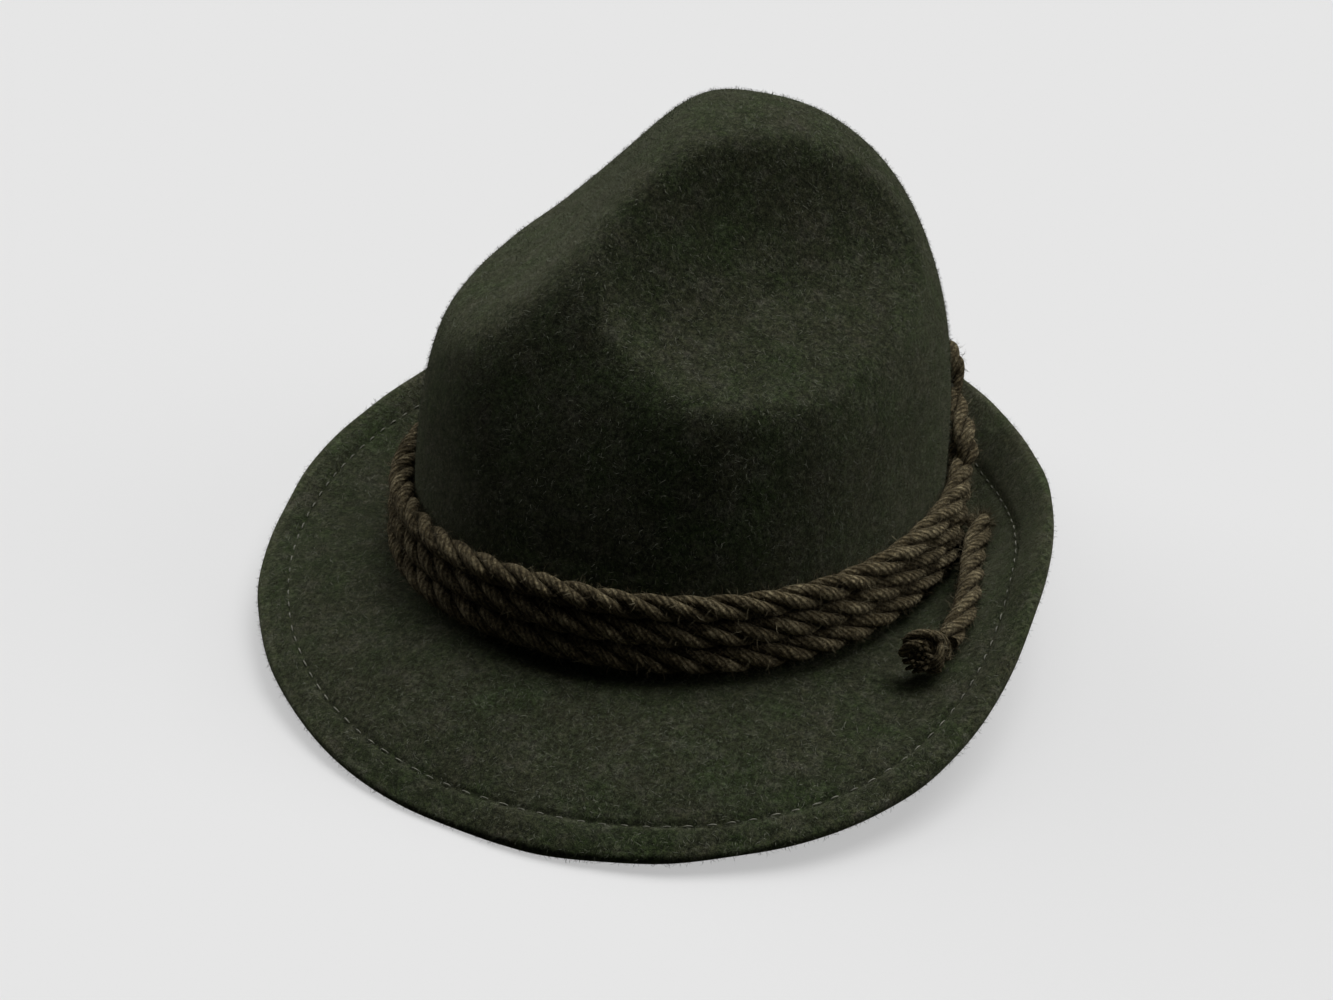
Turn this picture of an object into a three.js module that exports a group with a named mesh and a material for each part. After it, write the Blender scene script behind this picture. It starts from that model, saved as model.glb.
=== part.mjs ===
import * as THREE from 'three'

// Millimetres and degrees. The hat is described level: z = 0 where the crown meets the brim, the front
// toward -y, the wearer's left toward +x. Directions round it are counted from the front to the left.
// At the end it is tipped to the way it rests, on the front edge and the bend at the back.

// Felt
const FOOT_LENGTH = 206
const FOOT_WIDTH = 181
const OVAL_POWER = 2.2
const FELT = 2.2
const HEM_WIDTH = 9.5
const HEM_THICK = 2 * FELT
const HEM_ROWS = [9, 4.8, 0]
const HEM_FOLD = [45, 90, 135]
const FOOT_RADIUS = 6
const FOOT_BEND = [27, 63]
const DIRECTIONS = 60

// Crown: a dome that stands a little higher at the back, before it is dented
const DOME = { height: 151, risePerMm: 0.108, wallPower: 1.93, topPower: 3.48, meanPower: 2.8, size: 95,
  leanLeft: -0.043, leanBack: 0.117 }

// Each dent is a bowl pressed in from above. (x, y, z) is its floor, heading the way uphill and tilt its
// slope there. Uphill, downhill, right and left are its radii, which curve down instead where they are
// below zero, and edge is how far it is rounded off.
const DENTS = [
  { name: 'front face', x: -17, y: -106, z: 39.5, heading: -13, tilt: 1.6, uphill: 2000, downhill: 1000,
    right: 70, left: 68, edge: 26 },
  { name: 'right shoulder', x: -68, y: -37, z: 93.4, heading: -103.5, tilt: -0.16, uphill: -19, downhill: 37,
    right: 600, left: 180, edge: 20 },
  { name: 'left scoop', x: 3, y: -62.5, z: 99.8, heading: -54, tilt: 0.36, uphill: 15.4, downhill: 9000,
    right: 1200, left: 175, edge: 4.5 },
  { name: 'hill side', x: -3, y: -52, z: 112.6, heading: -61, tilt: 1.06, uphill: 34, downhill: 38,
    right: 34.5, left: 85, edge: 16.5 },
]
const DENT_FADE = { below: 34, rate: 0.6 }
const CROWN_POLE = [-5, 10, 120]
const CROWN_ROWS = 19
const CROWN_LOWEST_CLIMB = 6.1
const CROWN_NEAREST = 30
const CROWN_FURTHEST = 190
const WALL_STEEPEST_CLIMB = 60
const HALVINGS = 26

// Brim: how far it stands out and how high its edge lies, at directions round the hat
const BRIM = [
  { at: 0, width: 65.5, edge: -26 },
  { at: 45, width: 71.3, edge: -12 },
  { at: 90, width: 43, edge: 27 },
  { at: 135, width: 27, edge: 28 },
  { at: 180, width: 40, edge: 30 },
  { at: 225, width: 42, edge: 25 },
  { at: 270, width: 48, edge: 10 },
  { at: 315, width: 54, edge: -11 },
]
const BRIM_CURL = 1.5
const BRIM_ROWS = 6

// Cord: three turns round the foot of the crown, a standing loop and a short tail with a knot
const CORD = 8.6
const GAP = 0.5
const TURN_HEIGHTS = [8.5, 17.5, 26.5]
const CORD_SIDES = 8
const TURN_STEPS = 56
const LOOP = [
  { turn: 152, out: 4.9, up: 33.3 },
  { turn: 151, out: 5, up: 42 },
  { turn: 148, out: 5.2, up: 50 },
  { turn: 143, out: 6, up: 54 },
  { turn: 138, out: 6.2, up: 53 },
  { turn: 137, out: 5.4, up: 47 },
  { turn: 136, out: 5, up: 41.5 },
  { turn: 131.5, out: 5.4, up: 38 },
  { turn: 125, out: 6, up: 35.6 },
]
const LOOP_STEPS = 14
const TAIL = [
  { turn: 113, out: 13.9, above: 6.2 },
  { turn: 107, out: 14, above: 6.2 },
  { turn: 101, out: 15, above: 6.3 },
  { turn: 95, out: 17.2, above: 6.4 },
  { turn: 89, out: 20.6, above: 6.5 },
  { turn: 83, out: 24.6, above: 6.5 },
  { turn: 78, out: 28.4, above: 6.5 },
  { turn: 73.5, out: 31.2, above: 6.5 },
  { turn: 69.5, out: 33.2, above: 6.7 },
]
const TAIL_STEPS = 14
const TAIL_KNOT = { turn: 64.4, out: 34, above: 8.9, x: 16, y: 15, z: 15 }
const KNOT_DETAIL = 2

// Way it rests
const REST_TIP = 5.8
const SETTLE = 1

const rad = THREE.MathUtils.degToRad

function ovalRadius(turn) {
  const x = Math.abs(Math.sin(turn)) / (FOOT_WIDTH / 2)
  const y = Math.abs(Math.cos(turn)) / (FOOT_LENGTH / 2)
  return (x ** OVAL_POWER + y ** OVAL_POWER) ** (-1 / OVAL_POWER)
}

function outward(turn) {
  return new THREE.Vector3(Math.sin(turn), -Math.cos(turn), 0)
}

// Smooth closed curve through the rows of a table, for one named column
function round(table, column, turn) {
  const n = table.length
  const place = ((THREE.MathUtils.radToDeg(turn) / 360) % 1 + 1) % 1 * n
  const i = Math.floor(place)
  const t = place - i
  const [a, b, c, d] = [-1, 0, 1, 2].map((k) => table[(i + k + n) % n][column])
  return b + 0.5 * t * (c - a + t * (2 * a - 5 * b + 4 * c - d + t * (3 * (b - c) + d - a)))
}

function softMax(a, b, width) {
  const h = Math.max(width - Math.abs(a - b), 0) / width
  return Math.max(a, b) + h * h * h * width / 6
}

function domeDistance(p) {
  const x = Math.abs(p.x - DOME.leanLeft * p.z) / (FOOT_WIDTH / 2)
  const y = Math.abs(p.y - DOME.leanBack * p.z) / (FOOT_LENGTH / 2)
  const across = (x ** OVAL_POWER + y ** OVAL_POWER) ** (1 / OVAL_POWER)
  const up = p.z / (DOME.height + DOME.risePerMm * p.y)
  return ((across ** DOME.wallPower + up ** DOME.topPower) ** (1 / DOME.meanPower) - 1) * DOME.size
}

function dentDistance(p, dent) {
  const way = rad(dent.heading)
  const x = p.x - dent.x
  const y = p.y - dent.y
  const u = x * Math.sin(way) + y * Math.cos(way)
  const w = x * Math.cos(way) - y * Math.sin(way)
  const along = u > 0 ? dent.uphill : dent.downhill
  const across = w > 0 ? dent.right : dent.left
  const floor = dent.z + dent.tilt * u + u * u / (2 * along) + w * w / (2 * across)
  const slope = Math.hypot(1, dent.tilt + u / along, w / across)
  return (p.z - floor) / slope - DENT_FADE.rate * Math.max(DENT_FADE.below - p.z, 0)
}

// Positive outside the crown, negative inside it
function crownDistance(p) {
  return DENTS.reduce((d, dent) => softMax(d, dentDistance(p, dent), dent.edge), domeDistance(p))
}

// Point of the crown on the ray from the middle of its foot
function crownPoint(direction) {
  let near = CROWN_NEAREST
  let far = CROWN_FURTHEST
  for (let k = 0; k < HALVINGS; k++) {
    const middle = (near + far) / 2
    if (crownDistance(direction.clone().multiplyScalar(middle)) > 0) far = middle
    else near = middle
  }
  return direction.clone().multiplyScalar(near)
}

const pole = new THREE.Vector3(...CROWN_POLE).normalize()
function crownRay(turn, climb) {
  return outward(turn).multiplyScalar(Math.cos(climb)).addScaledVector(pole, Math.sin(climb)).normalize()
}

// Point of the crown wall in one direction at one height
function wallPoint(turn, height) {
  let low = 0
  let high = rad(WALL_STEEPEST_CLIMB)
  for (let k = 0; k < HALVINGS; k++) {
    const middle = (low + high) / 2
    if (crownPoint(crownRay(turn, middle)).z > height) high = middle
    else low = middle
  }
  return crownPoint(crownRay(turn, low))
}

// Point of the brim's upper face, out counted from the foot of the crown
function brimPoint(turn, out) {
  const width = round(BRIM, 'width', turn)
  const share = Math.max(out - FOOT_RADIUS, 0) / (width - FOOT_RADIUS)
  const p = outward(turn).multiplyScalar(ovalRadius(turn) + out)
  p.z = round(BRIM, 'edge', turn) * share ** BRIM_CURL
  return p
}

// Upper face of the felt in one direction, from the top of the crown out to the edge of the brim
function upperFace(turn) {
  const points = []
  for (let k = 1; k <= CROWN_ROWS; k++) {
    const climb = 90 + (CROWN_LOWEST_CLIMB - 90) * k / CROWN_ROWS
    points.push(crownPoint(crownRay(turn, rad(climb))))
  }
  for (const bend of FOOT_BEND.map(rad)) {
    const p = outward(turn).multiplyScalar(ovalRadius(turn) + FOOT_RADIUS * (1 - Math.cos(bend)))
    p.z = FOOT_RADIUS * (1 - Math.sin(bend))
    points.push(p)
  }
  const width = round(BRIM, 'width', turn)
  for (let k = 0; k <= BRIM_ROWS; k++) {
    points.push(brimPoint(turn, FOOT_RADIUS + (width - HEM_WIDTH - FOOT_RADIUS) * k / BRIM_ROWS))
  }
  for (const back of HEM_ROWS) points.push(brimPoint(turn, width - back))
  return points
}

// Tips the hat to the way it rests; dropToFloor is set once the felt is known
let dropToFloor = 0
const tip = new THREE.Matrix4().makeRotationX(-rad(REST_TIP))
function rest(p) {
  const q = p.clone().applyMatrix4(tip)
  q.z += dropToFloor
  return q
}

// Closed mesh of rings of points, all of one length. Two end points close it; with none it runs round.
function closedMesh(name, rings, start, end, material) {
  const n = rings[0].length
  const points = rings.flat()
  const at = (r, k) => (r % rings.length) * n + k % n
  const index = []
  for (let k = 0; k < n; k++) {
    for (let r = 0; r < rings.length - (start ? 1 : 0); r++) {
      index.push(at(r, k), at(r + 1, k), at(r + 1, k + 1), at(r, k), at(r + 1, k + 1), at(r, k + 1))
    }
    if (start) index.push(points.length, at(0, k), at(0, k + 1))
    if (start) index.push(points.length + 1, at(rings.length - 1, k + 1), at(rings.length - 1, k))
  }
  if (start) points.push(start, end)
  const geometry = new THREE.BufferGeometry()
  geometry.setAttribute('position', new THREE.Float32BufferAttribute(points.flatMap((p) => [p.x, p.y, p.z]), 3))
  geometry.setIndex(index)
  geometry.computeVertexNormals()
  const mesh = new THREE.Mesh(geometry, material)
  mesh.name = name
  return mesh
}

function feltBody(material) {
  const turns = Array.from({ length: DIRECTIONS }, (_, k) => k * 2 * Math.PI / DIRECTIONS)
  const upper = turns.map(upperFace)
  const last = upper[0].length - 1
  const top = crownPoint(pole)
  const n = DIRECTIONS
  const normalAt = (k, r) => {
    const along = upper[(k + 1) % n][r].clone().sub(upper[(k + n - 1) % n][r])
    const down = upper[k][Math.min(r + 1, last)].clone().sub(r > 0 ? upper[k][r - 1] : top)
    return down.cross(along).normalize()
  }
  const ring = (make) => turns.map((_, k) => make(k))
  const rings = []
  for (let r = 0; r <= last; r++) rings.push(ring((k) => upper[k][r]))
  // Rounded fold of the hem
  for (const bend of HEM_FOLD) {
    rings.push(ring((k) => {
      const up = normalAt(k, last)
      const out = upper[k][last].clone().sub(upper[k][last - 1]).normalize()
      const middle = upper[k][last].clone().addScaledVector(up, -HEM_THICK / 2)
      return middle.addScaledVector(up, Math.cos(rad(bend)) * HEM_THICK / 2)
        .addScaledVector(out, Math.sin(rad(bend)) * HEM_THICK / 2)
    }))
  }
  // Under face, doubled as far as the hem reaches
  for (let r = last; r >= 0; r--) {
    const thick = r > last - HEM_ROWS.length ? HEM_THICK : FELT
    rings.push(ring((k) => upper[k][r].clone().addScaledVector(normalAt(k, r), -thick)))
  }
  dropToFloor = 0
  dropToFloor = -Math.min(...rings.flat().map((p) => rest(p).z)) - SETTLE
  const settled = (p) => {
    const q = rest(p)
    q.z = Math.max(q.z, 0)
    return q
  }
  const under = top.clone().addScaledVector(pole, -FELT)
  return closedMesh('felt_body', rings.map((r) => r.map(settled)), rest(top), rest(under), material)
}

// Round tube of the cord's thickness along a curve; a looped curve has no ends
function cord(name, curve, steps, material) {
  const looped = curve.closed
  const frames = curve.computeFrenetFrames(steps, looped)
  const count = looped ? steps : steps + 1
  const rings = Array.from({ length: count }, (_, k) => {
    const middle = curve.getPointAt(k / steps)
    return Array.from({ length: CORD_SIDES }, (_, s) => {
      const a = -s * 2 * Math.PI / CORD_SIDES
      return middle.clone().addScaledVector(frames.normals[k], Math.cos(a) * CORD / 2)
        .addScaledVector(frames.binormals[k], Math.sin(a) * CORD / 2)
    })
  })
  if (looped) return closedMesh(name, rings, null, null, material)
  return closedMesh(name, rings, curve.getPointAt(0), curve.getPointAt(1), material)
}

// Knot of the cord, drawn as the plain lump that it fills
function knot(name, place, size, heading, material) {
  const geometry = new THREE.IcosahedronGeometry(1, KNOT_DETAIL)
  geometry.scale(size.x / 2, size.y / 2, size.z / 2)
  geometry.rotateZ(rad(heading))
  const at = rest(place)
  geometry.translate(at.x, at.y, at.z)
  const mesh = new THREE.Mesh(geometry, material)
  mesh.name = name
  return mesh
}

// Point against the crown or over the brim: direction, distance out from the crown wall, height
function besideCrown({ turn, out, up }) {
  return wallPoint(rad(turn), up).addScaledVector(outward(rad(turn)), out)
}

function overBrim({ turn, out, above }) {
  const p = brimPoint(rad(turn), out)
  p.z += above
  return p
}

function pathThrough(points, looped) {
  return new THREE.CatmullRomCurve3(points.map(rest), looped, 'centripetal')
}

const feltGreen = new THREE.MeshStandardMaterial({ name: 'wool_felt', color: 0x2b3124, roughness: 0.95 })
const cordBrown = new THREE.MeshStandardMaterial({ name: 'wool_cord', color: 0x4a4232, roughness: 0.95 })

const hat = new THREE.Group()
hat.name = 'tyrolean_hat'
hat.add(feltBody(feltGreen))

TURN_HEIGHTS.forEach((up, row) => {
  const points = Array.from({ length: TURN_STEPS }, (_, k) => {
    return besideCrown({ turn: k * 360 / TURN_STEPS, out: CORD / 2 + GAP, up })
  })
  hat.add(cord(`cord_turn_${row + 1}`, pathThrough(points, true), TURN_STEPS, cordBrown))
})
hat.add(cord('cord_loop', pathThrough(LOOP.map(besideCrown), false), LOOP_STEPS, cordBrown))
hat.add(cord('cord_tail', pathThrough(TAIL.map(overBrim), false), TAIL_STEPS, cordBrown))
hat.add(knot('tail_knot', overBrim(TAIL_KNOT), TAIL_KNOT, TAIL_KNOT.turn, cordBrown))

// The middle of the outline, seen from above, comes over the origin
const middle = new THREE.Box3().setFromObject(hat).getCenter(new THREE.Vector3())
hat.children.forEach((piece) => piece.geometry.translate(-middle.x, -middle.y, 0))

export default hat
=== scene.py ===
"""Tyrolean felt hat with a twisted wool cord, dressed over its CAD frame.

Sizes are in millimetres and degrees. The hat is described level, as its solids are: z = 0 where the crown
meets the brim, the front toward -y, the wearer's left toward +x, directions counted from the front to the
left. set_down() tips it to the way it rests and turns millimetres into metres.
"""
import math

import bmesh
import bpy
import numpy as np
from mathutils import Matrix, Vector


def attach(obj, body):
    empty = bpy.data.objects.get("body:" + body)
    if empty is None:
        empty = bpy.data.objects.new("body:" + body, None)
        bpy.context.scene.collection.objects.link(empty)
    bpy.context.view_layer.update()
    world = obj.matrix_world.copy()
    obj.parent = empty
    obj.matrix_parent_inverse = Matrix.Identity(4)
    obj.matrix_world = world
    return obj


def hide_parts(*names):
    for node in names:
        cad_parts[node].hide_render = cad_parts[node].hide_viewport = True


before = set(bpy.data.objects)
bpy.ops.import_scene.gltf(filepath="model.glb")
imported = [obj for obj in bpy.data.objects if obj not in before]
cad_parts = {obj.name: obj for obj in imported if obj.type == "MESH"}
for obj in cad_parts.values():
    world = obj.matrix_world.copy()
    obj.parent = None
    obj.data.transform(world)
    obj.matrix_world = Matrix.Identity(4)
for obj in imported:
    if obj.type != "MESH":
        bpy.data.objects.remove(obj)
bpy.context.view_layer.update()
RANDOM = np.random.default_rng(7)
MM = 0.001

# Felt, with the same named sizes as the solids
FOOT_LENGTH = 206
FOOT_WIDTH = 181
OVAL_POWER = 2.2
FELT = 2.2
HEM_WIDTH = 9.5
HEM_THICK = 2 * FELT
FOOT_RADIUS = 6
DOME = {"height": 151, "rise": 0.108, "wall": 1.93, "top": 3.48, "mean": 2.8, "size": 95,
        "left": -0.043, "back": 0.117}
DENTS = [
    {"x": -17, "y": -106, "z": 39.5, "heading": -13, "tilt": 1.6, "uphill": 2000, "downhill": 1000,
     "right": 70, "left": 68, "edge": 26},
    {"x": -68, "y": -37, "z": 93.4, "heading": -103.5, "tilt": -0.16, "uphill": -19, "downhill": 37,
     "right": 600, "left": 180, "edge": 20},
    {"x": 3, "y": -62.5, "z": 99.8, "heading": -54, "tilt": 0.36, "uphill": 15.4, "downhill": 9000,
     "right": 1200, "left": 175, "edge": 4.5},
    {"x": -3, "y": -52, "z": 112.6, "heading": -61, "tilt": 1.06, "uphill": 34, "downhill": 38,
     "right": 34.5, "left": 85, "edge": 16.5},
]
DENT_FADE = {"below": 34, "rate": 0.6}
POLE = np.array([-5.0, 10.0, 120.0])
LOWEST_CLIMB = 6.1
BRIM = [
    {"width": 65.5, "edge": -26},
    {"width": 71.3, "edge": -12},
    {"width": 43, "edge": 27},
    {"width": 27, "edge": 28},
    {"width": 40, "edge": 30},
    {"width": 42, "edge": 25},
    {"width": 48, "edge": 10},
    {"width": 54, "edge": -11},
]
BRIM_CURL = 1.5
REST_TIP = 5.8
HAT_PLACE = np.array([-0.980, 11.351, 12.215])

# Stitched fold of the brim's edge
STITCH_BACK = 8.7
STITCH_PITCH = 6.8
STITCH_LENGTH = 3.2
THREAD = 0.5
THREAD_SIDES = 8
STITCH_SUNK = 0.55
STITCH_RISE = 0.38

# Cord
CORD = 8.6
GAP = 0.5
LAY = 36.0
TURN_HEIGHTS = (8.5, 17.5, 26.5)
LOOP = [(152, 4.9, 33.3), (151, 5, 42), (148, 5.2, 50), (143, 6, 54), (138, 6.2, 53), (137, 5.4, 47),
        (136, 5, 41.5), (131.5, 5.4, 38), (125, 6, 35.6)]
LOOP_TUCK = [(121, 6.6, 31.5), (118.5, 6.2, 27.5)]
TAIL = [(113, 13.9, 6.2), (107, 14, 6.2), (101, 15, 6.3), (95, 17.2, 6.4), (89, 20.6, 6.5), (83, 24.6, 6.5),
        (78, 28.4, 6.5), (73.5, 31.2, 6.5), (69.5, 33.2, 6.7)]
TAIL_TUCK = (118, 10.8, 4)
TAIL_LAY = 48
LOOP_LAY = 40
TAIL_KNOT = (64.4, 34, 8.9)

# Camera
VIEW = {"azimuth": 26.0, "elevation": 33.48, "distance": 0.969, "focal": 2676.4, "x": 669.63, "y": 577.81}
IMAGE = (1333, 1000)

# Soft lights: azimuth counted from the camera toward its right, elevation, strength
LIGHTS = [
    ("back_right_light", 135, 58, 1.95),
    ("back_light", 180, 58, 0.7),
    ("right_light", 90, 28, 0.62),
    ("left_light", 225, 28, 0.92),
]
LIGHT_ANGLE = 40
ROOM_LIGHT = 0.025
FLOOR_HALF = 6
FLOOR_GREY = 0.35
FLOOR_GLOW = 0.451


# Shape of the hat

def oval_radius(turn):
    x = np.abs(np.sin(turn)) / (FOOT_WIDTH / 2)
    y = np.abs(np.cos(turn)) / (FOOT_LENGTH / 2)
    return (x ** OVAL_POWER + y ** OVAL_POWER) ** (-1 / OVAL_POWER)


def outward(turn):
    turn = np.asarray(turn, float)
    return np.stack([np.sin(turn), -np.cos(turn), 0 * turn], -1)


def around(column, turn):
    """Smooth closed curve through one column of the brim's table."""
    values = np.array([row[column] for row in BRIM], float)
    n = len(values)
    place = np.degrees(turn) / 360 % 1 * n
    i = np.floor(place).astype(int)
    t = place - i
    a, b, c, d = (values[(i + k) % n] for k in (-1, 0, 1, 2))
    return b + 0.5 * t * (c - a + t * (2 * a - 5 * b + 4 * c - d + t * (3 * (b - c) + d - a)))


def soft_max(a, b, width):
    h = np.maximum(width - np.abs(a - b), 0) / width
    return np.maximum(a, b) + h ** 3 * width / 6


def dome_distance(p):
    x = np.abs(p[..., 0] - DOME["left"] * p[..., 2]) / (FOOT_WIDTH / 2)
    y = np.abs(p[..., 1] - DOME["back"] * p[..., 2]) / (FOOT_LENGTH / 2)
    across = (x ** OVAL_POWER + y ** OVAL_POWER) ** (1 / OVAL_POWER)
    up = p[..., 2] / (DOME["height"] + DOME["rise"] * p[..., 1])
    return ((across ** DOME["wall"] + up ** DOME["top"]) ** (1 / DOME["mean"]) - 1) * DOME["size"]


def dent_distance(p, dent):
    way = math.radians(dent["heading"])
    x = p[..., 0] - dent["x"]
    y = p[..., 1] - dent["y"]
    u = x * math.sin(way) + y * math.cos(way)
    w = x * math.cos(way) - y * math.sin(way)
    along = np.where(u > 0, dent["uphill"], dent["downhill"])
    across = np.where(w > 0, dent["right"], dent["left"])
    floor = dent["z"] + dent["tilt"] * u + u * u / (2 * along) + w * w / (2 * across)
    slope = np.sqrt(1 + (dent["tilt"] + u / along) ** 2 + (w / across) ** 2)
    return (p[..., 2] - floor) / slope - DENT_FADE["rate"] * np.maximum(DENT_FADE["below"] - p[..., 2], 0)


def crown_distance(p):
    d = dome_distance(p)
    for dent in DENTS:
        d = soft_max(d, dent_distance(p, dent), dent["edge"])
    return d


def crown_points(rays, level=0.0):
    """Where rays from the middle of the foot reach the crown, or a layer inside it."""
    near = np.full(rays.shape[:-1], 30.0)
    far = np.full(rays.shape[:-1], 190.0)
    for _ in range(26):
        middle = (near + far) / 2
        outside = crown_distance(rays * middle[..., None]) > level
        far = np.where(outside, middle, far)
        near = np.where(outside, near, middle)
    return rays * near[..., None]


def crown_slope(p):
    """Length of the distance's gradient, by which a layer's level is its depth."""
    step = 0.5
    parts = []
    for axis in np.eye(3):
        parts.append(crown_distance(p + step * axis) - crown_distance(p - step * axis))
    return np.sqrt(sum(part ** 2 for part in parts)) / (2 * step)


def crown_rays(turn, climb):
    pole = POLE / np.linalg.norm(POLE)
    ray = outward(turn) * np.cos(climb)[..., None] + pole * np.sin(climb)[..., None]
    return ray / np.linalg.norm(ray, axis=-1, keepdims=True)


def wall_point(turn, height):
    """Point of the crown wall in one direction at one height."""
    turn = np.asarray(turn, float)
    height = np.asarray(height, float) + 0 * turn
    offset = height[..., None] * POLE / POLE[2]
    near = np.full(turn.shape, 30.0)
    far = np.full(turn.shape, 130.0)
    for _ in range(26):
        middle = (near + far) / 2
        outside = crown_distance(offset + outward(turn) * middle[..., None]) > 0
        far = np.where(outside, middle, far)
        near = np.where(outside, near, middle)
    return offset + outward(turn) * near[..., None]


def brim_point(turn, out):
    width = around("width", turn)
    share = np.maximum(out - FOOT_RADIUS, 0) / (width - FOOT_RADIUS)
    p = outward(turn) * (oval_radius(turn) + out)[..., None]
    p[..., 2] = around("edge", turn) * share ** BRIM_CURL
    return p


def set_down(p):
    """The place in the row frame, in metres, of a point of the level hat in millimetres."""
    c, s = math.cos(math.radians(REST_TIP)), math.sin(math.radians(REST_TIP))
    q = np.stack([p[..., 0], c * p[..., 1] + s * p[..., 2], -s * p[..., 1] + c * p[..., 2]], -1)
    return (q + HAT_PLACE) * MM


# Meshes

def unit(v):
    return v / np.maximum(np.linalg.norm(v, axis=-1, keepdims=True), 1e-12)


class Shape:
    """Vertices, faces, texture places and a light value per vertex, gathered for one mesh.

    The value is 1 on the outside of a strand and 0 between strands, where the yarn is painted darker as
    painted shade; on felt it is 1 on the brim's folded edge, which is painted paler as a painted highlight.
    """

    def __init__(self):
        self.points = []
        self.faces = []
        self.places = []
        self.lights = []
        self.count = 0

    def add(self, points, faces, places=None, light=1.0):
        points = np.asarray(points, float).reshape(-1, 3)
        faces = np.asarray(faces, int)
        if places is None:
            places = np.zeros(faces.shape + (2,))
        self.points.append(points)
        self.faces += (faces + self.count).tolist()
        self.places.append(np.asarray(places, float).reshape(-1, 2))
        self.lights.append(np.broadcast_to(np.asarray(light, float), len(points)))
        self.count += len(points)

    def grid(self, rings, along=None, around_count=1.0, twist=None, closed=False, light=1.0):
        """Tube of rings (rows, sides, 3); along gives each row's place along it, in millimetres."""
        rows, sides = rings.shape[:2]
        r = np.arange(rows if closed else rows - 1)
        a = (r[:, None] % rows) * sides
        b = ((r[:, None] + 1) % rows) * sides
        s = np.arange(sides)[None, :]
        t = (s + 1) % sides
        faces = np.stack([a + s, b + s, b + t, a + t], -1).reshape(-1, 4)
        if along is None:
            along = np.arange(rows + 1, dtype=float)
        if twist is None:
            twist = np.zeros(len(along))
        u0, u1 = along[r][:, None] + 0.0 * s, along[r + 1][:, None] + 0.0 * s
        w0, w1 = twist[r][:, None], twist[r + 1][:, None]
        v0, v1 = s / sides * around_count, (s + 1) / sides * around_count
        places = np.stack([np.stack([u0, v0 + w0], -1), np.stack([u1, v0 + w1], -1),
                           np.stack([u1, v1 + w1], -1), np.stack([u0, v1 + w0], -1)], 2)
        light = np.broadcast_to(light, (rows, sides)).ravel()
        self.add(rings, faces, places, light)

    def cap(self, ring, tip, flip=False, light=1.0):
        """Closes a ring with a fan to one point."""
        n = len(ring)
        k = np.arange(n)
        faces = np.stack([k, (k + 1) % n, np.full(n, n)], -1)
        self.add(np.vstack([ring, tip]), faces[:, ::-1] if flip else faces, light=light)

    def make(self, name, material):
        mesh = bpy.data.meshes.new(name)
        mesh.from_pydata(np.vstack(self.points).tolist(), [], self.faces)
        layer = mesh.uv_layers.new(name="yarn")
        layer.data.foreach_set("uv", np.vstack(self.places).ravel())
        lit = mesh.attributes.new("lit", "FLOAT", "POINT")
        lit.data.foreach_set("value", np.concatenate(self.lights))
        mesh.polygons.foreach_set("use_smooth", [True] * len(mesh.polygons))
        mesh.update()
        mesh.validate()
        piece = bpy.data.objects.new(name, mesh)
        bpy.context.scene.collection.objects.link(piece)
        mesh.materials.append(material)
        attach(piece, "root")
        return piece


# Materials

def new_material(name):
    material = bpy.data.materials.new(name)
    material.use_nodes = True
    nodes = material.node_tree.nodes
    shader = nodes["Principled BSDF"]
    return material, nodes, material.node_tree.links, shader


def noise(nodes, links, vector, scale, detail=3.0, rough=0.55):
    node = nodes.new("ShaderNodeTexNoise")
    node.inputs["Scale"].default_value = scale
    node.inputs["Detail"].default_value = detail
    node.inputs["Roughness"].default_value = rough
    links.new(vector, node.inputs["Vector"])
    return node.outputs["Fac"]


def ramp(nodes, links, value, stops):
    node = nodes.new("ShaderNodeValToRGB")
    while len(node.color_ramp.elements) < len(stops):
        node.color_ramp.elements.new(0.5)
    for element, (place, color) in zip(node.color_ramp.elements, stops):
        element.position = place
        element.color = (*color, 1)
    links.new(value, node.inputs["Fac"])
    return node.outputs["Color"]


def mix(nodes, links, share, a, b, kind="MIX"):
    node = nodes.new("ShaderNodeMix")
    node.data_type = "RGBA"
    node.blend_type = kind
    for socket, value in ((node.inputs[0], share), (node.inputs[6], a), (node.inputs[7], b)):
        if isinstance(value, bpy.types.NodeSocket):
            links.new(value, socket)
        elif isinstance(value, tuple):
            socket.default_value = (*value, 1)
        else:
            socket.default_value = value
    return node.outputs[2]


def stretched(nodes, links, vector, scale, angles):
    node = nodes.new("ShaderNodeMapping")
    node.inputs["Scale"].default_value = scale
    node.inputs["Rotation"].default_value = [math.radians(a) for a in angles]
    links.new(vector, node.inputs["Vector"])
    return node.outputs["Vector"]


FELT_DARK = (0.014, 0.018, 0.008)
FELT_OLIVE = (0.027, 0.032, 0.016)
FELT_GREY = (0.046, 0.049, 0.033)
FELT_FLECK = (0.13, 0.14, 0.09)
FELT_GRAINS = {"cloud": 150, "drift": 48, "grain": 640}
FLECK_WAYS = [((20, 35, 0), (2600, 420, 900)), ((70, -25, 40), (2300, 380, 800)),
              ((-40, 10, 80), (2500, 400, 900))]


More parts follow.
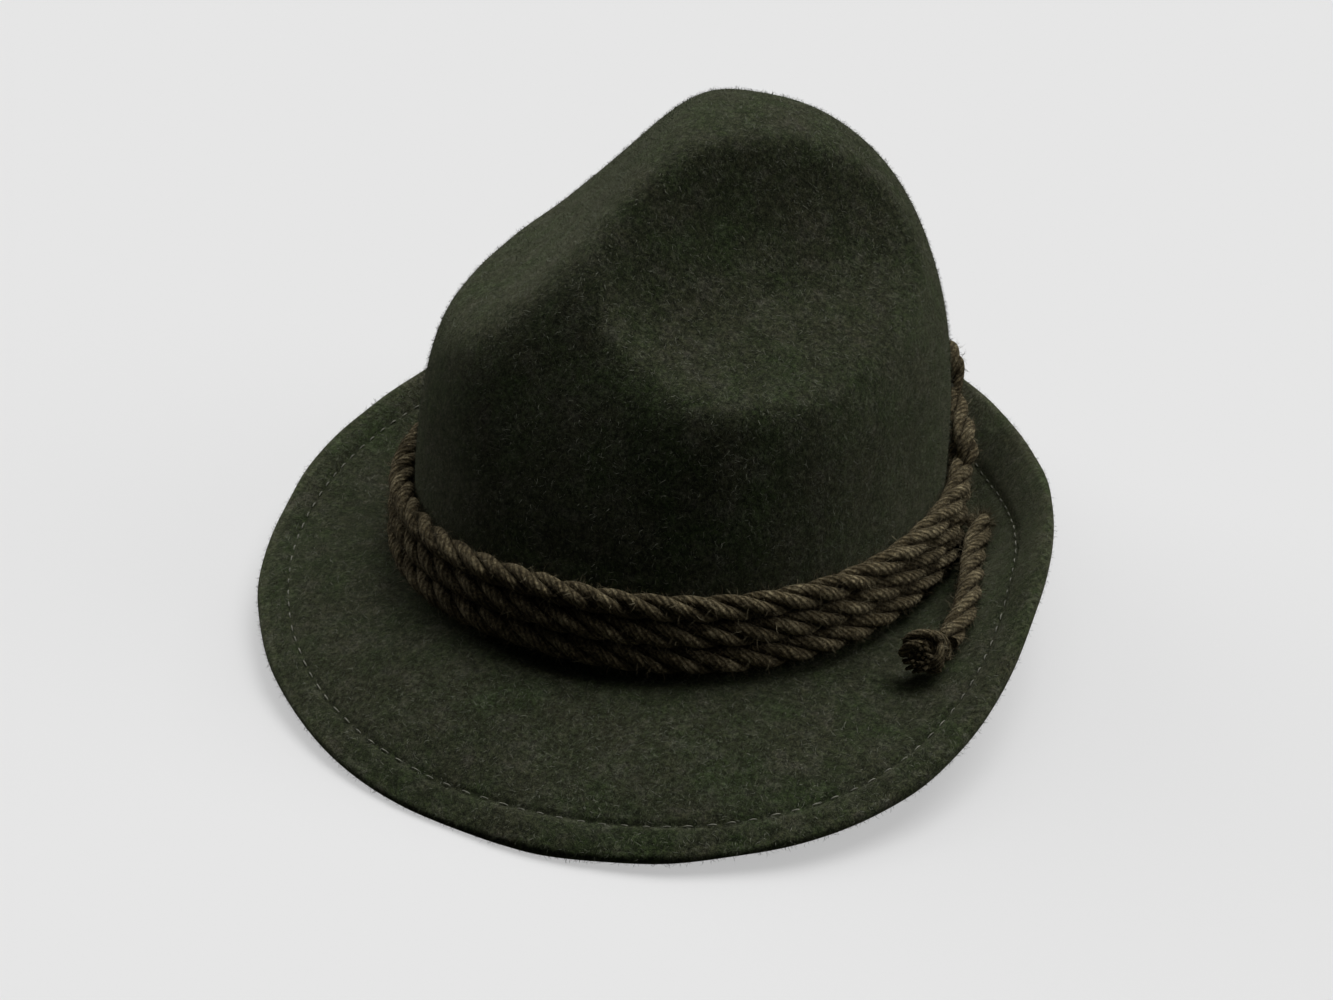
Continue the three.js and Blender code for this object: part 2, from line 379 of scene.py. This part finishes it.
def felt_material():
    material, nodes, links, shader = new_material("heathered_wool_felt")
    where = nodes.new("ShaderNodeTexCoord").outputs["Object"]
    cloud = noise(nodes, links, where, FELT_GRAINS["cloud"], 8, 0.8)
    base = ramp(nodes, links, cloud, [(0.36, FELT_DARK), (0.5, FELT_OLIVE), (0.62, FELT_GREY)])
    drift = noise(nodes, links, where, FELT_GRAINS["drift"], 6, 0.75)
    hue = ramp(nodes, links, drift, [(0.38, (0.84, 1.04, 0.78)), (0.5, (1, 1, 1)), (0.62, (1.12, 1.0, 1.12))])
    base = mix(nodes, links, 1.0, base, hue, "MULTIPLY")
    grain = noise(nodes, links, where, FELT_GRAINS["grain"], 5, 0.85)
    shade = ramp(nodes, links, grain, [(0.38, (0.25, 0.25, 0.25)), (0.5, (1, 1, 1)), (0.62, (2.2, 2.2, 2.1))])
    color = mix(nodes, links, 1.0, base, shade, "MULTIPLY")
    # Painted highlight: where the lit value is 1, on the brim's folded edge, the felt colour is painted up to
    # half again paler
    edge_highlight = nodes.new("ShaderNodeAttribute")
    edge_highlight.attribute_name = "lit"
    paler = ramp(nodes, links, edge_highlight.outputs["Fac"], [(0.5, (1, 1, 1)), (1.0, (1.5, 1.45, 1.5))])
    color = mix(nodes, links, 1.0, color, paler, "MULTIPLY")
    for angles, scale in FLECK_WAYS:
        fibre = noise(nodes, links, stretched(nodes, links, where, scale, angles), 1.0, 1, 0.5)
        share = ramp(nodes, links, fibre, [(0.68, (0, 0, 0)), (0.78, (0.6, 0.6, 0.6))])
        color = mix(nodes, links, share, color, FELT_FLECK)
    links.new(color, shader.inputs["Base Color"])
    bump = nodes.new("ShaderNodeBump")
    bump.inputs["Strength"].default_value = 0.9
    bump.inputs["Distance"].default_value = 0.0008
    links.new(grain, bump.inputs["Height"])
    links.new(bump.outputs["Normal"], shader.inputs["Normal"])
    shader.inputs["Roughness"].default_value = 1.0
    shader.inputs["Specular IOR Level"].default_value = 0.1
    shader.inputs["Sheen Weight"].default_value = 0.26
    shader.inputs["Sheen Roughness"].default_value = 0.4
    shader.inputs["Sheen Tint"].default_value = (0.66, 0.68, 0.44, 1)
    return material


YARN_DARK = (0.050, 0.040, 0.022)
YARN_BROWN = (0.130, 0.107, 0.062)
YARN_PALE = (0.245, 0.210, 0.130)
BAND_PERIOD = 0.314
YARN_GRAINS = {"hair": 1000, "tone": 140}


def yarn_material():
    material, nodes, links, shader = new_material("twisted_wool_yarn")
    where = nodes.new("ShaderNodeTexCoord").outputs["Object"]
    place = nodes.new("ShaderNodeUVMap")
    place.uv_map = "yarn"
    ply = nodes.new("ShaderNodeTexWave")
    ply.wave_type = "BANDS"
    ply.bands_direction = "Y"
    ply.inputs["Scale"].default_value = BAND_PERIOD
    ply.inputs["Distortion"].default_value = 3.5
    ply.inputs["Detail"].default_value = 3
    ply.inputs["Detail Scale"].default_value = 2.0
    links.new(place.outputs["UV"], ply.inputs["Vector"])
    hair = noise(nodes, links, where, YARN_GRAINS["hair"], 5, 0.85)
    tone = noise(nodes, links, where, YARN_GRAINS["tone"], 4, 0.7)
    base = ramp(nodes, links, tone, [(0.34, YARN_DARK), (0.5, YARN_BROWN), (0.66, YARN_PALE)])
    shade = ramp(nodes, links, ply.outputs["Fac"], [(0.1, (0.5, 0.48, 0.45)), (0.6, (1.15, 1.15, 1.15))])
    color = mix(nodes, links, 1.0, base, shade, "MULTIPLY")
    fuzz = ramp(nodes, links, hair, [(0.38, (0.3, 0.28, 0.25)), (0.51, (1, 1, 1)), (0.64, (2.4, 2.35, 2.2))])
    color = mix(nodes, links, 1.0, color, fuzz, "MULTIPLY")
    # Painted shade: the yarn colour is painted darker where the lit value is low, between the strands and at
    # the roots of the end brush
    lit = nodes.new("ShaderNodeAttribute")
    lit.attribute_name = "lit"
    deep = ramp(nodes, links, lit.outputs["Fac"], [(0.2, (0.42, 0.39, 0.35)), (0.7, (1, 1, 1))])
    color = mix(nodes, links, 1.0, color, deep, "MULTIPLY")
    links.new(color, shader.inputs["Base Color"])
    bump = nodes.new("ShaderNodeBump")
    bump.inputs["Strength"].default_value = 0.8
    bump.inputs["Distance"].default_value = 0.0006
    links.new(ply.outputs["Fac"], bump.inputs["Height"])
    rough = nodes.new("ShaderNodeBump")
    rough.inputs["Strength"].default_value = 0.8
    rough.inputs["Distance"].default_value = 0.0009
    links.new(hair, rough.inputs["Height"])
    links.new(bump.outputs["Normal"], rough.inputs["Normal"])
    links.new(rough.outputs["Normal"], shader.inputs["Normal"])
    shader.inputs["Roughness"].default_value = 1.0
    shader.inputs["Specular IOR Level"].default_value = 0.05
    shader.inputs["Sheen Weight"].default_value = 0.15
    shader.inputs["Sheen Roughness"].default_value = 0.5
    shader.inputs["Sheen Tint"].default_value = (0.75, 0.66, 0.48, 1)
    return material


FELT_FIBRE_COLORS = ((0.02, 0.024, 0.013), (0.065, 0.073, 0.048), (0.26, 0.27, 0.21))
YARN_FIBRE_COLORS = ((0.05, 0.041, 0.025), (0.15, 0.126, 0.077), (0.31, 0.275, 0.18))


def fibre_material(name, dark, pale, bright):
    material, nodes, links, shader = new_material(name)
    place = nodes.new("ShaderNodeUVMap")
    place.uv_map = "tone"
    parts = nodes.new("ShaderNodeSeparateXYZ")
    links.new(place.outputs["UV"], parts.inputs[0])
    color = ramp(nodes, links, parts.outputs["X"], [(0.0, dark), (0.75, pale), (1.0, bright)])
    links.new(color, shader.inputs["Base Color"])
    shader.inputs["Roughness"].default_value = 1.0
    shader.inputs["Specular IOR Level"].default_value = 0.1
    return material


THREAD_DARK = (0.09, 0.09, 0.065)
THREAD_PALE = (0.26, 0.26, 0.20)


def thread_material():
    material, nodes, links, shader = new_material("sewing_thread")
    where = nodes.new("ShaderNodeTexCoord").outputs["Object"]
    tone = noise(nodes, links, where, 700, 2, 0.6)
    color = ramp(nodes, links, tone, [(0.3, THREAD_DARK), (0.7, THREAD_PALE)])
    links.new(color, shader.inputs["Base Color"])
    shader.inputs["Roughness"].default_value = 0.6
    return material


# Felt body

TURNS = 300
CROWN_ROWS = 120
BRIM_ROWS = 34
HEM_ROWS = 14
UNDER_EVERY = 2
FOOT_BENDS = (15, 30, 45, 60, 75)
FOLD_BENDS = (22, 45, 68, 90, 112, 135, 158)
FINE_ROWS_FROM = 1.15 * HEM_WIDTH
GROOVE_DEPTH = 0.85
HEM_PUFF = 0.55
HEM_STEP = 0.25
PLAIN_FELT = 0.5
# Lit value of the brim's last upper rows and folded edge, where the felt is painted paler as a painted
# highlight, and how many rows it covers
PAINTED_HIGHLIGHT_FELT = 1.0
PAINTED_HIGHLIGHT_ROWS = 3


def brim_normal(turn, out):
    d = 0.01
    across = brim_point(turn + d, out) - brim_point(turn - d, out)
    down = brim_point(turn, out + 0.5) - brim_point(turn, out - 0.5)
    return unit(np.cross(down, across))


def felt_piece(material):
    """The blocked felt; gives back the rings of its upper side for the fibres."""
    turn = np.arange(TURNS) * 2 * math.pi / TURNS
    climbs = np.radians(90 + (LOWEST_CLIMB - 90) * np.arange(1, CROWN_ROWS + 1) / CROWN_ROWS)
    rays = crown_rays(turn[None, :] + 0 * climbs[:, None], climbs[:, None] + 0 * turn[None, :])
    upper = [crown_points(rays)]
    slope = crown_slope(upper[0])
    under = [crown_points(rays, -FELT * slope)]
    radius = oval_radius(turn)
    for bend in np.radians(FOOT_BENDS):
        for rows, around_radius in ((upper, FOOT_RADIUS), (under, FOOT_RADIUS + FELT)):
            p = outward(turn) * (radius + FOOT_RADIUS - around_radius * math.cos(bend))[:, None]
            p[:, 2] = FOOT_RADIUS - around_radius * math.sin(bend)
            rows.append(p[None])
    width = around("width", turn)
    brim_share = np.linspace(0, 1, BRIM_ROWS)[:, None]
    hem_share = np.linspace(0, 1, HEM_ROWS + 1)[1:, None]
    backs = np.concatenate([
        (width[None, :] - FOOT_RADIUS) * (1 - brim_share) + FINE_ROWS_FROM * brim_share,
        FINE_ROWS_FROM * (1 - hem_share) + 0 * width[None, :]])
    for back in backs:
        out = width - back
        normal = brim_normal(turn, out)
        groove = -GROOVE_DEPTH * np.exp(-(back - STITCH_BACK) ** 2)
        puff = HEM_PUFF * np.sin(math.pi * np.clip(back / STITCH_BACK, 0, 1))
        p = brim_point(turn, out)
        upper.append((p + normal * (groove + puff)[:, None])[None])
        thick = FELT + (HEM_THICK - FELT) / (1 + np.exp((back - HEM_WIDTH) / HEM_STEP))
        under.append((p - normal * thick[:, None])[None])
    edge = brim_point(turn, width)
    normal = brim_normal(turn, width)
    out = unit(brim_point(turn, width) - brim_point(turn, width - 0.5))
    middle = edge - normal * HEM_THICK / 2
    fold = []
    for bend in np.radians(FOLD_BENDS):
        fold.append((middle + (normal * math.cos(bend) + out * math.sin(bend)) * HEM_THICK / 2)[None])
    upper = np.concatenate(upper)
    under = np.concatenate(under)[::-1][::UNDER_EVERY]
    rings = np.concatenate([upper, np.concatenate(fold), under])
    ring_normals = surface_normals(rings)
    rings = rings + ring_normals * unevenness(rings)[..., None]
    seen = rings[:len(upper) + len(fold)]
    rings = set_down(rings)
    rings[..., 2] = np.maximum(rings[..., 2], 0)
    pole = unit(POLE)[None]
    top = crown_points(pole)
    inner = crown_points(pole, -FELT * crown_slope(top))
    shape = Shape()
    # The last upper rows and the folded edge get the lit value of the painted highlight; the rest of the felt
    # stays plain
    light = np.full(len(rings), PLAIN_FELT)
    light[len(upper) - PAINTED_HIGHLIGHT_ROWS:len(upper) + len(fold)] = PAINTED_HIGHLIGHT_FELT
    shape.grid(rings[:, ::-1], light=light[:, None])
    shape.cap(rings[0], set_down(top), light=PLAIN_FELT)
    shape.cap(rings[-1], set_down(inner), flip=True, light=PLAIN_FELT)
    piece = shape.make("felt_hat", material)
    join_doubles(piece)
    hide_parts("felt_body")
    return seen


def surface_normals(rings):
    down = np.gradient(rings, axis=0)
    across = np.roll(rings, -1, 1) - np.roll(rings, 1, 1)
    return unit(np.cross(down, across))


UNEVEN = {"height": 0.10, "first": 22, "step": 3, "full": 60}
WAVES = [(RANDOM.normal(0, 1, 3), RANDOM.uniform(0, 6.28)) for _ in range(24)]


def unevenness(p):
    """Slow rise and fall of hand-blocked felt."""
    total = 0
    for k, (way, phase) in enumerate(WAVES):
        length = UNEVEN["first"] + UNEVEN["step"] * k
        wave = np.sin(2 * math.pi * (p @ (way / np.linalg.norm(way))) / length + phase)
        total = total + wave * length / UNEVEN["full"]
    return total * UNEVEN["height"]


def join_doubles(piece):
    work = bmesh.new()
    work.from_mesh(piece.data)
    bmesh.ops.remove_doubles(work, verts=work.verts, dist=1e-7)
    bmesh.ops.recalc_face_normals(work, faces=work.faces)
    work.to_mesh(piece.data)
    work.free()


# Loose fibres

FELT_FIBRES = 62000
FELT_FIBRE_PIECES = 2
TUFT_FIBRES = 900
FELT_FIBRE = {"length": 2.3, "width": 0.1, "lift": 0.6}
YARN_FIBRE = {"length": 3.0, "width": 0.13, "lift": 1.1}
TUFT_FIBRE = {"length": 6.5, "width": 0.14, "lift": 0.9}
FIBRE_ROOT = 0.15
ABOVE_FLOOR = 0.00005


def scatter(rings, count):
    """Random spots on a grid of points that closes on itself sideways, with the normals there."""
    low, high = rings[:-1], rings[1:]
    across = np.roll(low, -1, 1) - low
    down = high - low
    normal = np.cross(down, across)
    area = np.linalg.norm(normal, axis=-1).ravel()
    pick = RANDOM.choice(len(area), count, p=area / area.sum())
    s, t = RANDOM.random((2, count, 1))
    spots = low.reshape(-1, 3)[pick] + s * across.reshape(-1, 3)[pick] + t * down.reshape(-1, 3)[pick]
    return spots, unit(normal.reshape(-1, 3)[pick])


def fibres_piece(name, spots, normals, fibre, material):
    """Bent ribbons of three triangles, each standing a little off the surface."""
    count = len(spots)
    side = unit(np.cross(normals, RANDOM.normal(0, 1, (count, 3))))
    way = np.cross(side, normals)
    size = fibre["length"] * RANDOM.uniform(0.45, 1.25, (count, 1))
    rise = fibre["lift"] * RANDOM.uniform(0.1, 1.0, (count, 1)) ** 1.5
    bend = RANDOM.normal(0, 0.25, (count, 1))
    half = fibre["width"] / 2 * RANDOM.uniform(0.7, 1.3, (count, 1))
    root = spots - normals * FIBRE_ROOT
    middle = spots + size * (0.5 * way + rise * 0.6 * normals)
    tip = spots + size * (0.95 * way + bend * side + rise * normals)
    points = np.stack([root - half * side, root + half * side, middle - half * side, middle + half * side,
                       tip], 1).reshape(-1, 3)
    points = set_down(points)
    points[:, 2] = np.maximum(points[:, 2], ABOVE_FLOOR)
    triangles = np.array([[0, 1, 3], [0, 3, 2], [2, 3, 4]])
    faces = (np.arange(count)[:, None, None] * 5 + triangles).reshape(-1, 3)
    mesh = bpy.data.meshes.new(name)
    mesh.from_pydata(points, [], faces)
    tone = mesh.uv_layers.new(name="tone")
    tone.data.foreach_set("uv", np.repeat(RANDOM.random((count, 2)), 9, axis=0).ravel())
    piece = bpy.data.objects.new(name, mesh)
    bpy.context.scene.collection.objects.link(piece)
    mesh.materials.append(material)
    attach(piece, "root")


# Stitches of the hem

def stitches_piece(material):
    fine = np.linspace(0, 2 * math.pi, 4001)
    line = brim_point(fine, around("width", fine) - STITCH_BACK)
    run = np.concatenate([[0], np.cumsum(np.linalg.norm(np.diff(line, axis=0), axis=1))])
    count = int(run[-1] / STITCH_PITCH)
    shape = Shape()
    angle = np.arange(THREAD_SIDES) * 2 * math.pi / THREAD_SIDES
    for k in range(count):
        start = (k + RANDOM.uniform(-0.06, 0.06)) * run[-1] / count
        t = np.linspace(0, 1, 7)
        turn = np.interp(start + t * STITCH_LENGTH * RANDOM.uniform(0.85, 1.1), run, fine)
        back = STITCH_BACK + RANDOM.uniform(-0.12, 0.12) + RANDOM.uniform(-0.15, 0.15) * (t - 0.5)
        p = brim_point(turn, around("width", turn) - back)
        up = brim_normal(turn, around("width", turn) - back)
        p = p + up * (STITCH_RISE * np.sin(math.pi * t) - STITCH_SUNK)[:, None]
        tangent = unit(np.gradient(p, axis=0))
        side = unit(np.cross(tangent, up))
        high = np.cross(side, tangent)
        size = THREAD / 2 * (0.35 + 0.65 * np.sin(math.pi * t) ** 0.4)
        ring = p[:, None] + size[:, None, None] * (np.cos(angle)[None, :, None] * side[:, None]
                                                   + np.sin(angle)[None, :, None] * high[:, None])
        shape.grid(set_down(ring))
    shape.make("hem_stitches", material)


# Cord

def resample(points, step, closed=False):
    """Points at even steps along a smooth curve through the given ones."""
    if closed:
        points = np.vstack([points, points[:1]])
    run = np.concatenate([[0], np.cumsum(np.linalg.norm(np.diff(points, axis=0), axis=1))])
    count = int(round(run[-1] / step))
    want = np.linspace(0, run[-1], count + 1)
    if closed:
        want = want[:-1]
    return np.stack([np.interp(want, run, points[:, k]) for k in range(3)], -1), run[-1]


def spline(points, steps=24):
    """Centripetal curve through the points, as the solids' own."""
    p = np.vstack([2 * points[0] - points[1], points, 2 * points[-1] - points[-2]])
    out = []
    for i in range(1, len(p) - 2):
        gaps = [max(np.linalg.norm(p[i + k] - p[i + k - 1]), 1e-9) ** 0.5 for k in (0, 1, 2)]
        t0, t1, t2 = gaps
        m1 = (p[i] - p[i - 1]) / t0 - (p[i + 1] - p[i - 1]) / (t0 + t1) + (p[i + 1] - p[i]) / t1
        m2 = (p[i + 1] - p[i]) / t1 - (p[i + 2] - p[i]) / (t1 + t2) + (p[i + 2] - p[i + 1]) / t2
        m1, m2 = m1 * t1, m2 * t1
        for t in np.linspace(0, 1, steps, endpoint=False):
            a = 2 * t ** 3 - 3 * t ** 2 + 1
            b = t ** 3 - 2 * t ** 2 + t
            c = -2 * t ** 3 + 3 * t ** 2
            d = t ** 3 - t ** 2
            out.append(a * p[i] + b * m1 + c * p[i + 1] + d * m2)
    out.append(p[-2])
    return np.array(out)


def carried_frames(line, first):
    """Side and lift vectors carried along a line without twist."""
    tangent = unit(np.gradient(line, axis=0))
    side = unit(first - tangent[0] * np.dot(first, tangent[0]))
    sides = [side]
    for k in range(1, len(line)):
        side = unit(sides[-1] - tangent[k] * np.dot(sides[-1], tangent[k]))
        sides.append(side)
    sides = np.array(sides)
    return tangent, sides, np.cross(tangent, sides)


STRANDS = 3
STRAND_SIDES = 20
STRAND_MIDDLE = 0.285
STRAND_RADIUS = 0.245
YARNS = 6
YARN_LAY = 30
ROPE_FIBRES_PER_MM = 20
STRAND_FLAT = 0.04
PLACE_PER_MM = 0.35
WOBBLE = {"turn": 0.12, "length": 17.0}
BULGE = {"share": 0.05, "length": 5.3, "shift": 2.1}
# The lay is longer on the wearer's left: how much, in all, where and over what width
EASE = 0.36
EASE_SHARE = 0.94
EASE_AT = 95
EASE_WIDTH = 34
ROPE_RINGS = []


def add_rope(shape, line, side, lift, run, twists, closed, size=CORD, taper=None, used=None):
    """Three strands laid round a line; twists is how often they go round it in all."""
    n = len(line)
    rows = n + 1 if closed else n
    arc = np.linspace(0, run, rows)
    wobble = np.sin(arc / WOBBLE["length"] + 1) * WOBBLE["turn"]
    if closed:
        wobble = wobble * np.sin(math.pi * arc / run)
    if used is None:
        used = arc[:n] / run
    for strand in range(STRANDS):
        turn = 2 * math.pi * (twists * used + strand / STRANDS) + wobble[:n]
        radial = np.cos(turn)[:, None] * side + np.sin(turn)[:, None] * lift
        bulge = 1 + BULGE["share"] * np.sin(arc[:n] / BULGE["length"] + strand * BULGE["shift"])
        if taper is not None:
            bulge = bulge * taper
        middle = line + radial * (STRAND_MIDDLE * size * bulge)[:, None]
        if closed:
            tangent = unit(np.roll(middle, -1, 0) - np.roll(middle, 1, 0))
        else:
            tangent = unit(np.gradient(middle, axis=0))
        out = unit(radial - tangent * np.sum(radial * tangent, -1, keepdims=True))
        across = np.cross(tangent, out)
        angle = np.arange(STRAND_SIDES) * 2 * math.pi / STRAND_SIDES
        yarn_twists = round(-run / YARN_LAY)
        twist = YARNS * yarn_twists * arc / run
        r = STRAND_RADIUS * size * bulge[:, None]
        deep = r * (1 - STRAND_FLAT) * np.cos(angle)
        wide = r * (1 + STRAND_FLAT) * np.sin(angle)
        rings = middle[:, None] + deep[..., None] * out[:, None] + wide[..., None] * across[:, None]
        along = arc * PLACE_PER_MM
        ROPE_RINGS.append((rings, run))
        rings = set_down(rings)
        if closed:
            along = np.append(along, along[-1])
            twist = np.append(twist, twist[-1])
        # Lit value 1 on a strand's outer side and 0 on its inner side, for the painted shade between strands
        shape.grid(rings, along, YARNS, twist, closed, 0.5 + 0.5 * np.cos(angle))
        if not closed:
            shape.cap(rings[0], rings[0].mean(0), flip=True)
            shape.cap(rings[-1], rings[-1].mean(0))


def eased_twist(line):
    """Share of the twist used up along a turn: the lay is longer on the wearer's left."""
    turn = np.degrees(np.arctan2(line[:, 0], -line[:, 1]))
    rate = 1 - EASE * np.exp(-((turn - EASE_AT) / EASE_WIDTH) ** 2)
    used = np.concatenate([[0], np.cumsum(rate)])
    return used[:-1] / used[-1]


def turn_piece(row, height, material):
    turn = np.linspace(0, 2 * math.pi, 720, endpoint=False)
    line = wall_point(turn, height) + outward(turn) * (CORD / 2 + GAP)
    line, run = resample(line, 1.1, closed=True)
    tangent = unit(np.roll(line, -1, 0) - np.roll(line, 1, 0))
    radial = unit(line * [1, 1, 0])
    side = unit(radial - tangent * np.sum(radial * tangent, -1, keepdims=True))
    lift = np.cross(tangent, side)
    shape = Shape()
    used = eased_twist(line)
    add_rope(shape, line, side, lift, run, round(run / LAY * EASE_SHARE), True, used=used)
    piece = shape.make(f"rope_turn_{row}", material)
    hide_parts(f"cord_turn_{row}")
    return piece


def beside_crown(turn, out, up):
    return wall_point(np.radians(turn), up) + outward(np.radians(turn)) * np.asarray(out)[..., None]


def over_brim(turn, out, above):
    p = brim_point(np.radians(np.array(turn, float)), np.array(out, float))
    p[..., 2] += above
    return p


def open_rope(name, points, material, start_size=1.0, end_size=1.0, lay=LAY):
    line, run = resample(spline(points), 1.0)
    _, side, lift = carried_frames(line, np.array([0.0, 0.0, 1.0]))
    shape = Shape()
    arc = np.linspace(0, run, len(line))
    taper = np.minimum(np.minimum(start_size + arc / 10, end_size + (run - arc) / 10), 1)
    add_rope(shape, line, side, lift, run, run / lay, False, taper=taper)
    return shape.make(name, material), line, run


KNOT_OVER = [(-7, 0.8, -1), (-5, 0.8, 3.6), (-1, 0.2, 5.8), (2.6, -1.8, 5), (4.2, -4.2, 2), (2.5, -5.8, -2)]
KNOT_WRAP = {"from": -40, "to": 330, "radius": 4.0, "start": -0.5, "end": -3.5, "points": 60}
KNOT_SIZES = (5.4, 6.2)
KNOT_LAY = 34
BRUSH_YARNS = 34
BRUSH_RADIUS = 4.2
BRUSH_TURN = 2.39996
BRUSH_YARN_RADIUS = 0.85
BRUSH_SIDES = 8


def knot_piece(material):
    """End of the tail: the cord wrapped round and over itself, and its cut end as a brush of yarns."""
    centre = over_brim(*TAIL_KNOT)
    turn = math.radians(TAIL_KNOT[0])
    along = unit(np.array([-math.cos(turn), -math.sin(turn), 0.35]))
    out = outward(turn)
    up = unit(np.cross(along, out))
    up = up if up[2] > 0 else -up
    shape = Shape()
    angle = np.radians(np.linspace(KNOT_WRAP["from"], KNOT_WRAP["to"], KNOT_WRAP["points"]))
    step = np.linspace(KNOT_WRAP["start"], KNOT_WRAP["end"], KNOT_WRAP["points"])
    wrap = centre + along * step[:, None] \
        + KNOT_WRAP["radius"] * (np.cos(angle)[:, None] * out + np.sin(angle)[:, None] * up)
    over = resample(spline(centre + np.array(KNOT_OVER) @ np.array([along, out, up])), 0.5)[0]
    for line, size in zip((wrap, over), KNOT_SIZES):
        _, side, lift = carried_frames(line, along)
        run = np.linalg.norm(np.diff(line, axis=0), axis=1).sum()
        add_rope(shape, line, side, lift, run, run / KNOT_LAY, False, size=size)
    round_it = np.arange(BRUSH_SIDES) * 2 * math.pi / BRUSH_SIDES
    for k in range(BRUSH_YARNS):
        place = math.sqrt((k + 0.5) / BRUSH_YARNS) * BRUSH_RADIUS
        bearing = k * BRUSH_TURN
        way = math.cos(bearing) * out + math.sin(bearing) * up
        t = np.linspace(0, 1, 6)[:, None]
        reach = RANDOM.uniform(4.6, 6.6) - 0.05 * place ** 2
        line = centre - up * 1.2 + along * (-1.5 + (1.5 + reach) * t) \
            + way * place * (0.9 + RANDOM.uniform(0.3, 0.6) * t ** 2)
        _, side, lift = carried_frames(line, up)
        size = BRUSH_YARN_RADIUS * (1 - 0.35 * t ** 6)
        ring = line[:, None] + size[:, :, None] * (np.cos(round_it)[None, :, None] * side[:, None]
                                                   + np.sin(round_it)[None, :, None] * lift[:, None])
        ring = set_down(ring)
        # Lit value low at the brush yarns' roots and high at their tips, for painted shade deep inside the
        # brush
        shape.grid(ring, light=0.3 + 0.6 * t ** 3)
        shape.cap(ring[-1], ring[-1].mean(0))
        shape.cap(ring[0], ring[0].mean(0), flip=True)
    return shape.make("tail_end_knot", material)


# Stage

def away(azimuth, elevation):
    """Direction from the object, with azimuth 0 toward -y and 90 toward +x."""
    a, e = math.radians(azimuth), math.radians(elevation)
    return Vector((math.sin(a) * math.cos(e), -math.cos(a) * math.cos(e), math.sin(e)))


def look_at(camera, target):
    way = Vector(target) - camera.location
    camera.rotation_euler = way.to_track_quat("-Z", "Y").to_euler()


def add_camera():
    data = bpy.data.cameras.new("camera")
    camera = bpy.data.objects.new("camera", data)
    bpy.context.scene.collection.objects.link(camera)
    camera.location = away(VIEW["azimuth"], VIEW["elevation"]) * VIEW["distance"]
    look_at(camera, (0, 0, 0))
    data.sensor_fit = "HORIZONTAL"
    data.sensor_width = 36
    data.lens = VIEW["focal"] / IMAGE[0] * data.sensor_width
    data.shift_x = (IMAGE[0] / 2 - VIEW["x"]) / IMAGE[0]
    data.shift_y = (VIEW["y"] - IMAGE[1] / 2) / IMAGE[0]
    data.clip_end = 50
    bpy.context.scene.camera = camera


def add_stage():
    mesh = bpy.data.meshes.new("floor")
    corners = [(-1, -1), (1, -1), (1, 1), (-1, 1)]
    mesh.from_pydata([(FLOOR_HALF * x, FLOOR_HALF * y, 0) for x, y in corners], [], [(0, 1, 2, 3)])
    floor = bpy.data.objects.new("floor", mesh)
    bpy.context.scene.collection.objects.link(floor)
    material, _, _, shader = new_material("pale_floor")
    shader.inputs["Base Color"].default_value = (FLOOR_GREY, FLOOR_GREY, FLOOR_GREY, 1)
    shader.inputs["Roughness"].default_value = 1.0
    shader.inputs["Specular IOR Level"].default_value = 0.0
    shader.inputs["Emission Color"].default_value = (1, 1, 1, 1)
    shader.inputs["Emission Strength"].default_value = FLOOR_GLOW
    mesh.materials.append(material)
    floor.visible_diffuse = False
    floor.visible_glossy = False
    for name, azimuth, elevation, strength in LIGHTS:
        data = bpy.data.lights.new(name, "SUN")
        data.energy = strength
        data.angle = math.radians(LIGHT_ANGLE)
        light = bpy.data.objects.new(name, data)
        light.rotation_euler = away(azimuth + VIEW["azimuth"], elevation).to_track_quat("Z", "Y").to_euler()
        bpy.context.scene.collection.objects.link(light)
    world = bpy.data.worlds.new("world")
    world.use_nodes = True
    world.node_tree.nodes["Background"].inputs[0].default_value = (1, 1, 1, 1)
    world.node_tree.nodes["Background"].inputs[1].default_value = ROOM_LIGHT
    bpy.context.scene.world = world


add_camera()
felt = felt_material()
yarn = yarn_material()
thread = thread_material()

tail_points = over_brim(*np.array([TAIL_TUCK] + TAIL).T)
tail, tail_line, tail_run = open_rope("rope_tail", tail_points, yarn, 0.45, 1.0, TAIL_LAY)
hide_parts("cord_tail")
knot = knot_piece(yarn)
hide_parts("tail_knot")

felt_fibre = fibre_material("loose_felt_fibre", *FELT_FIBRE_COLORS)
yarn_fibre = fibre_material("loose_yarn_fibre", *YARN_FIBRE_COLORS)

upper_side = felt_piece(felt)
for part in range(1, FELT_FIBRE_PIECES + 1):
    spots, normals = scatter(upper_side, FELT_FIBRES)
    fibres_piece(f"felt_fibres_{part}", spots, normals, FELT_FIBRE, felt_fibre)
stitches_piece(thread)
for row, height in enumerate(TURN_HEIGHTS, 1):
    turn_piece(row, height, yarn)
loop_points = beside_crown(*np.array(LOOP + LOOP_TUCK).T)
loop, _, _ = open_rope("rope_loop", loop_points, yarn, 1.0, 0.4, LOOP_LAY)
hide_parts("cord_loop")
tuft_at = tail_line[9] + RANDOM.normal(0, 1.4, (TUFT_FIBRES, 3))
tuft_way = unit(RANDOM.normal(0, 0.7, (TUFT_FIBRES, 3)) + outward(np.radians(TAIL[0][0])) + [0, 0, 0.8])
fibres_piece("tail_tuft", tuft_at, tuft_way, TUFT_FIBRE, yarn_fibre)
rooted = []
for rings, run in ROPE_RINGS:
    rooted.append(scatter(rings[:, ::-1], int(run * ROPE_FIBRES_PER_MM / STRANDS)))
spots, normals = (np.concatenate(values) for values in zip(*rooted))
fibres_piece("yarn_fibres", spots, normals, YARN_FIBRE, yarn_fibre)

add_stage()
bpy.context.scene.view_settings.view_transform = "Standard"
